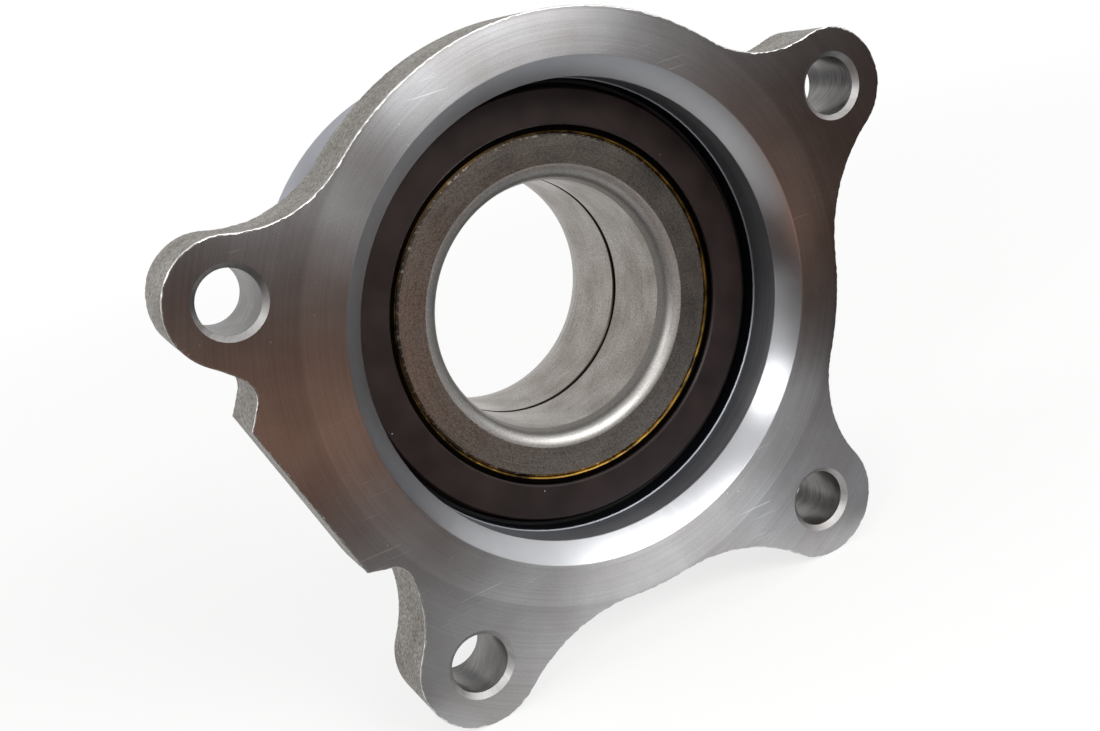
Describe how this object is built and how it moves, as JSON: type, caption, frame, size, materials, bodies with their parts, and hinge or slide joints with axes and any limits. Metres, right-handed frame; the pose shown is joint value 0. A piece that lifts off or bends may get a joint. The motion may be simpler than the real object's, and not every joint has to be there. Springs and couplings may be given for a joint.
{
  "type": "wheel hub bearing",
  "caption": "Flanged wheel hub bearing: forged outer ring with bolt ears and a chamfered socket, split inner rings on tapered rollers in cages, sealed both ends, with a sensor ring.",
  "frame": {"origin": "on the bearing's axis, in the plane where the two inner rings meet", "axes": "+Y along the bearing's axis from the machined front face to the rear pilot, +Z between the two upper ears, +X to the right seen from the front"},
  "size_m": [0.1828, 0.0702, 0.1517],
  "materials": {
    "forged_steel": "forged sides, turned and milled faces",
    "ground_steel": "ground bearing steel",
    "spring_steel": "plain strip",
    "roller_steel": "superfinished",
    "seal_sheet": "rubber coated sheet",
    "seal_rubber": "moulded",
    "passivated_sheet": "yellow passivated",
    "cage_plastic": "glass filled polyamide",
    "encoder_rubber": "magnetic rubber, satin"
  },
  "bodies": {
    "housing": {"housing": "forged_steel", "front_seal_case": "seal_sheet", "front_seal_lip": "seal_rubber", "rear_seal_case": "seal_sheet", "rear_seal_lip": "seal_rubber"},
    "inner_rings": {"front_inner_ring": "ground_steel", "rear_inner_ring": "ground_steel", "inner_ring_clip": "spring_steel", "front_slinger": "passivated_sheet", "encoder_ring": "encoder_rubber", "rear_slinger": "passivated_sheet"},
    "front_cage": {"front_cage": "cage_plastic"},
    "rear_cage": {"rear_cage": "cage_plastic"},
    "front_roller_01": {"front_roller_01": "roller_steel"},
    "front_roller_02": {"front_roller_02": "roller_steel"},
    "front_roller_03": {"front_roller_03": "roller_steel"},
    "front_roller_04": {"front_roller_04": "roller_steel"},
    "front_roller_05": {"front_roller_05": "roller_steel"},
    "front_roller_06": {"front_roller_06": "roller_steel"},
    "front_roller_07": {"front_roller_07": "roller_steel"},
    "front_roller_08": {"front_roller_08": "roller_steel"},
    "front_roller_09": {"front_roller_09": "roller_steel"},
    "front_roller_10": {"front_roller_10": "roller_steel"},
    "front_roller_11": {"front_roller_11": "roller_steel"},
    "front_roller_12": {"front_roller_12": "roller_steel"},
    "front_roller_13": {"front_roller_13": "roller_steel"},
    "front_roller_14": {"front_roller_14": "roller_steel"},
    "front_roller_15": {"front_roller_15": "roller_steel"},
    "front_roller_16": {"front_roller_16": "roller_steel"},
    "front_roller_17": {"front_roller_17": "roller_steel"},
    "front_roller_18": {"front_roller_18": "roller_steel"},
    "front_roller_19": {"front_roller_19": "roller_steel"},
    "front_roller_20": {"front_roller_20": "roller_steel"},
    "rear_roller_01": {"rear_roller_01": "roller_steel"},
    "rear_roller_02": {"rear_roller_02": "roller_steel"},
    "rear_roller_03": {"rear_roller_03": "roller_steel"},
    "rear_roller_04": {"rear_roller_04": "roller_steel"},
    "rear_roller_05": {"rear_roller_05": "roller_steel"},
    "rear_roller_06": {"rear_roller_06": "roller_steel"},
    "rear_roller_07": {"rear_roller_07": "roller_steel"},
    "rear_roller_08": {"rear_roller_08": "roller_steel"},
    "rear_roller_09": {"rear_roller_09": "roller_steel"},
    "rear_roller_10": {"rear_roller_10": "roller_steel"},
    "rear_roller_11": {"rear_roller_11": "roller_steel"},
    "rear_roller_12": {"rear_roller_12": "roller_steel"},
    "rear_roller_13": {"rear_roller_13": "roller_steel"},
    "rear_roller_14": {"rear_roller_14": "roller_steel"},
    "rear_roller_15": {"rear_roller_15": "roller_steel"},
    "rear_roller_16": {"rear_roller_16": "roller_steel"},
    "rear_roller_17": {"rear_roller_17": "roller_steel"},
    "rear_roller_18": {"rear_roller_18": "roller_steel"},
    "rear_roller_19": {"rear_roller_19": "roller_steel"},
    "rear_roller_20": {"rear_roller_20": "roller_steel"}
  },
  "joints": [
    {"name": "inner_ring_spin", "type": "hinge", "parent": "housing", "child": "inner_rings", "pos_m": [0, 0, 0], "axis": [0, 1, 0], "continuous": true},
    {"name": "front_cage_orbit", "type": "hinge", "parent": "housing", "child": "front_cage", "pos_m": [0, -0.01063, 0], "axis": [0, 1, 0], "continuous": true},
    {"name": "front_roller_01_spin", "type": "hinge", "parent": "front_cage", "child": "front_roller_01", "pos_m": [0.04222, -0.01063, 0], "axis": [-0.2588, 0.9659, 0], "continuous": true},
    {"name": "front_roller_02_spin", "type": "hinge", "parent": "front_cage", "child": "front_roller_02", "pos_m": [0.04015, -0.01063, -0.01305], "axis": [-0.2462, 0.9659, 0.08], "continuous": true},
    {"name": "front_roller_03_spin", "type": "hinge", "parent": "front_cage", "child": "front_roller_03", "pos_m": [0.03416, -0.01063, -0.02482], "axis": [-0.2094, 0.9659, 0.1521], "continuous": true},
    {"name": "front_roller_04_spin", "type": "hinge", "parent": "front_cage", "child": "front_roller_04", "pos_m": [0.02482, -0.01063, -0.03416], "axis": [-0.1521, 0.9659, 0.2094], "continuous": true},
    {"name": "front_roller_05_spin", "type": "hinge", "parent": "front_cage", "child": "front_roller_05", "pos_m": [0.01305, -0.01063, -0.04015], "axis": [-0.08, 0.9659, 0.2462], "continuous": true},
    {"name": "front_roller_06_spin", "type": "hinge", "parent": "front_cage", "child": "front_roller_06", "pos_m": [0, -0.01063, -0.04222], "axis": [0, 0.9659, 0.2588], "continuous": true},
    {"name": "front_roller_07_spin", "type": "hinge", "parent": "front_cage", "child": "front_roller_07", "pos_m": [-0.01305, -0.01063, -0.04015], "axis": [0.08, 0.9659, 0.2462], "continuous": true},
    {"name": "front_roller_08_spin", "type": "hinge", "parent": "front_cage", "child": "front_roller_08", "pos_m": [-0.02482, -0.01063, -0.03416], "axis": [0.1521, 0.9659, 0.2094], "continuous": true},
    {"name": "front_roller_09_spin", "type": "hinge", "parent": "front_cage", "child": "front_roller_09", "pos_m": [-0.03416, -0.01063, -0.02482], "axis": [0.2094, 0.9659, 0.1521], "continuous": true},
    {"name": "front_roller_10_spin", "type": "hinge", "parent": "front_cage", "child": "front_roller_10", "pos_m": [-0.04015, -0.01063, -0.01305], "axis": [0.2462, 0.9659, 0.08], "continuous": true},
    {"name": "front_roller_11_spin", "type": "hinge", "parent": "front_cage", "child": "front_roller_11", "pos_m": [-0.04222, -0.01063, 0], "axis": [0.2588, 0.9659, 0], "continuous": true},
    {"name": "front_roller_12_spin", "type": "hinge", "parent": "front_cage", "child": "front_roller_12", "pos_m": [-0.04015, -0.01063, 0.01305], "axis": [0.2462, 0.9659, -0.08], "continuous": true},
    {"name": "front_roller_13_spin", "type": "hinge", "parent": "front_cage", "child": "front_roller_13", "pos_m": [-0.03416, -0.01063, 0.02482], "axis": [0.2094, 0.9659, -0.1521], "continuous": true},
    {"name": "front_roller_14_spin", "type": "hinge", "parent": "front_cage", "child": "front_roller_14", "pos_m": [-0.02482, -0.01063, 0.03416], "axis": [0.1521, 0.9659, -0.2094], "continuous": true},
    {"name": "front_roller_15_spin", "type": "hinge", "parent": "front_cage", "child": "front_roller_15", "pos_m": [-0.01305, -0.01063, 0.04015], "axis": [0.08, 0.9659, -0.2462], "continuous": true},
    {"name": "front_roller_16_spin", "type": "hinge", "parent": "front_cage", "child": "front_roller_16", "pos_m": [0, -0.01063, 0.04222], "axis": [0, 0.9659, -0.2588], "continuous": true},
    {"name": "front_roller_17_spin", "type": "hinge", "parent": "front_cage", "child": "front_roller_17", "pos_m": [0.01305, -0.01063, 0.04015], "axis": [-0.08, 0.9659, -0.2462], "continuous": true},
    {"name": "front_roller_18_spin", "type": "hinge", "parent": "front_cage", "child": "front_roller_18", "pos_m": [0.02482, -0.01063, 0.03416], "axis": [-0.1521, 0.9659, -0.2094], "continuous": true},
    {"name": "front_roller_19_spin", "type": "hinge", "parent": "front_cage", "child": "front_roller_19", "pos_m": [0.03416, -0.01063, 0.02482], "axis": [-0.2094, 0.9659, -0.1521], "continuous": true},
    {"name": "front_roller_20_spin", "type": "hinge", "parent": "front_cage", "child": "front_roller_20", "pos_m": [0.04015, -0.01063, 0.01305], "axis": [-0.2462, 0.9659, -0.08], "continuous": true},
    {"name": "rear_cage_orbit", "type": "hinge", "parent": "housing", "child": "rear_cage", "pos_m": [0, 0.01063, 0], "axis": [0, 1, 0], "continuous": true},
    {"name": "rear_roller_01_spin", "type": "hinge", "parent": "rear_cage", "child": "rear_roller_01", "pos_m": [0.04222, 0.01063, 0], "axis": [0.2588, 0.9659, 0], "continuous": true},
    {"name": "rear_roller_02_spin", "type": "hinge", "parent": "rear_cage", "child": "rear_roller_02", "pos_m": [0.04015, 0.01063, -0.01305], "axis": [0.2462, 0.9659, -0.08], "continuous": true},
    {"name": "rear_roller_03_spin", "type": "hinge", "parent": "rear_cage", "child": "rear_roller_03", "pos_m": [0.03416, 0.01063, -0.02482], "axis": [0.2094, 0.9659, -0.1521], "continuous": true},
    {"name": "rear_roller_04_spin", "type": "hinge", "parent": "rear_cage", "child": "rear_roller_04", "pos_m": [0.02482, 0.01063, -0.03416], "axis": [0.1521, 0.9659, -0.2094], "continuous": true},
    {"name": "rear_roller_05_spin", "type": "hinge", "parent": "rear_cage", "child": "rear_roller_05", "pos_m": [0.01305, 0.01063, -0.04015], "axis": [0.08, 0.9659, -0.2462], "continuous": true},
    {"name": "rear_roller_06_spin", "type": "hinge", "parent": "rear_cage", "child": "rear_roller_06", "pos_m": [0, 0.01063, -0.04222], "axis": [0, 0.9659, -0.2588], "continuous": true},
    {"name": "rear_roller_07_spin", "type": "hinge", "parent": "rear_cage", "child": "rear_roller_07", "pos_m": [-0.01305, 0.01063, -0.04015], "axis": [-0.08, 0.9659, -0.2462], "continuous": true},
    {"name": "rear_roller_08_spin", "type": "hinge", "parent": "rear_cage", "child": "rear_roller_08", "pos_m": [-0.02482, 0.01063, -0.03416], "axis": [-0.1521, 0.9659, -0.2094], "continuous": true},
    {"name": "rear_roller_09_spin", "type": "hinge", "parent": "rear_cage", "child": "rear_roller_09", "pos_m": [-0.03416, 0.01063, -0.02482], "axis": [-0.2094, 0.9659, -0.1521], "continuous": true},
    {"name": "rear_roller_10_spin", "type": "hinge", "parent": "rear_cage", "child": "rear_roller_10", "pos_m": [-0.04015, 0.01063, -0.01305], "axis": [-0.2462, 0.9659, -0.08], "continuous": true},
    {"name": "rear_roller_11_spin", "type": "hinge", "parent": "rear_cage", "child": "rear_roller_11", "pos_m": [-0.04222, 0.01063, 0], "axis": [-0.2588, 0.9659, 0], "continuous": true},
    {"name": "rear_roller_12_spin", "type": "hinge", "parent": "rear_cage", "child": "rear_roller_12", "pos_m": [-0.04015, 0.01063, 0.01305], "axis": [-0.2462, 0.9659, 0.08], "continuous": true},
    {"name": "rear_roller_13_spin", "type": "hinge", "parent": "rear_cage", "child": "rear_roller_13", "pos_m": [-0.03416, 0.01063, 0.02482], "axis": [-0.2094, 0.9659, 0.1521], "continuous": true},
    {"name": "rear_roller_14_spin", "type": "hinge", "parent": "rear_cage", "child": "rear_roller_14", "pos_m": [-0.02482, 0.01063, 0.03416], "axis": [-0.1521, 0.9659, 0.2094], "continuous": true},
    {"name": "rear_roller_15_spin", "type": "hinge", "parent": "rear_cage", "child": "rear_roller_15", "pos_m": [-0.01305, 0.01063, 0.04015], "axis": [-0.08, 0.9659, 0.2462], "continuous": true},
    {"name": "rear_roller_16_spin", "type": "hinge", "parent": "rear_cage", "child": "rear_roller_16", "pos_m": [0, 0.01063, 0.04222], "axis": [0, 0.9659, 0.2588], "continuous": true},
    {"name": "rear_roller_17_spin", "type": "hinge", "parent": "rear_cage", "child": "rear_roller_17", "pos_m": [0.01305, 0.01063, 0.04015], "axis": [0.08, 0.9659, 0.2462], "continuous": true},
    {"name": "rear_roller_18_spin", "type": "hinge", "parent": "rear_cage", "child": "rear_roller_18", "pos_m": [0.02482, 0.01063, 0.03416], "axis": [0.1521, 0.9659, 0.2094], "continuous": true},
    {"name": "rear_roller_19_spin", "type": "hinge", "parent": "rear_cage", "child": "rear_roller_19", "pos_m": [0.03416, 0.01063, 0.02482], "axis": [0.2094, 0.9659, 0.1521], "continuous": true},
    {"name": "rear_roller_20_spin", "type": "hinge", "parent": "rear_cage", "child": "rear_roller_20", "pos_m": [0.04015, 0.01063, 0.01305], "axis": [0.2462, 0.9659, 0.08], "continuous": true}
  ],
  "couplings": [
    {"joint": "front_cage_orbit", "follows": "inner_ring_spin", "ratio": 0.44166},
    {"joint": "front_roller_01_spin", "follows": "inner_ring_spin", "ratio": -4.0828},
    {"joint": "front_roller_02_spin", "follows": "inner_ring_spin", "ratio": -4.0828},
    {"joint": "front_roller_03_spin", "follows": "inner_ring_spin", "ratio": -4.0828},
    {"joint": "front_roller_04_spin", "follows": "inner_ring_spin", "ratio": -4.0828},
    {"joint": "front_roller_05_spin", "follows": "inner_ring_spin", "ratio": -4.0828},
    {"joint": "front_roller_06_spin", "follows": "inner_ring_spin", "ratio": -4.0828},
    {"joint": "front_roller_07_spin", "follows": "inner_ring_spin", "ratio": -4.0828},
    {"joint": "front_roller_08_spin", "follows": "inner_ring_spin", "ratio": -4.0828},
    {"joint": "front_roller_09_spin", "follows": "inner_ring_spin", "ratio": -4.0828},
    {"joint": "front_roller_10_spin", "follows": "inner_ring_spin", "ratio": -4.0828},
    {"joint": "front_roller_11_spin", "follows": "inner_ring_spin", "ratio": -4.0828},
    {"joint": "front_roller_12_spin", "follows": "inner_ring_spin", "ratio": -4.0828},
    {"joint": "front_roller_13_spin", "follows": "inner_ring_spin", "ratio": -4.0828},
    {"joint": "front_roller_14_spin", "follows": "inner_ring_spin", "ratio": -4.0828},
    {"joint": "front_roller_15_spin", "follows": "inner_ring_spin", "ratio": -4.0828},
    {"joint": "front_roller_16_spin", "follows": "inner_ring_spin", "ratio": -4.0828},
    {"joint": "front_roller_17_spin", "follows": "inner_ring_spin", "ratio": -4.0828},
    {"joint": "front_roller_18_spin", "follows": "inner_ring_spin", "ratio": -4.0828},
    {"joint": "front_roller_19_spin", "follows": "inner_ring_spin", "ratio": -4.0828},
    {"joint": "front_roller_20_spin", "follows": "inner_ring_spin", "ratio": -4.0828},
    {"joint": "rear_cage_orbit", "follows": "inner_ring_spin", "ratio": 0.44166},
    {"joint": "rear_roller_01_spin", "follows": "inner_ring_spin", "ratio": -4.0828},
    {"joint": "rear_roller_02_spin", "follows": "inner_ring_spin", "ratio": -4.0828},
    {"joint": "rear_roller_03_spin", "follows": "inner_ring_spin", "ratio": -4.0828},
    {"joint": "rear_roller_04_spin", "follows": "inner_ring_spin", "ratio": -4.0828},
    {"joint": "rear_roller_05_spin", "follows": "inner_ring_spin", "ratio": -4.0828},
    {"joint": "rear_roller_06_spin", "follows": "inner_ring_spin", "ratio": -4.0828},
    {"joint": "rear_roller_07_spin", "follows": "inner_ring_spin", "ratio": -4.0828},
    {"joint": "rear_roller_08_spin", "follows": "inner_ring_spin", "ratio": -4.0828},
    {"joint": "rear_roller_09_spin", "follows": "inner_ring_spin", "ratio": -4.0828},
    {"joint": "rear_roller_10_spin", "follows": "inner_ring_spin", "ratio": -4.0828},
    {"joint": "rear_roller_11_spin", "follows": "inner_ring_spin", "ratio": -4.0828},
    {"joint": "rear_roller_12_spin", "follows": "inner_ring_spin", "ratio": -4.0828},
    {"joint": "rear_roller_13_spin", "follows": "inner_ring_spin", "ratio": -4.0828},
    {"joint": "rear_roller_14_spin", "follows": "inner_ring_spin", "ratio": -4.0828},
    {"joint": "rear_roller_15_spin", "follows": "inner_ring_spin", "ratio": -4.0828},
    {"joint": "rear_roller_16_spin", "follows": "inner_ring_spin", "ratio": -4.0828},
    {"joint": "rear_roller_17_spin", "follows": "inner_ring_spin", "ratio": -4.0828},
    {"joint": "rear_roller_18_spin", "follows": "inner_ring_spin", "ratio": -4.0828},
    {"joint": "rear_roller_19_spin", "follows": "inner_ring_spin", "ratio": -4.0828},
    {"joint": "rear_roller_20_spin", "follows": "inner_ring_spin", "ratio": -4.0828}
  ]
}
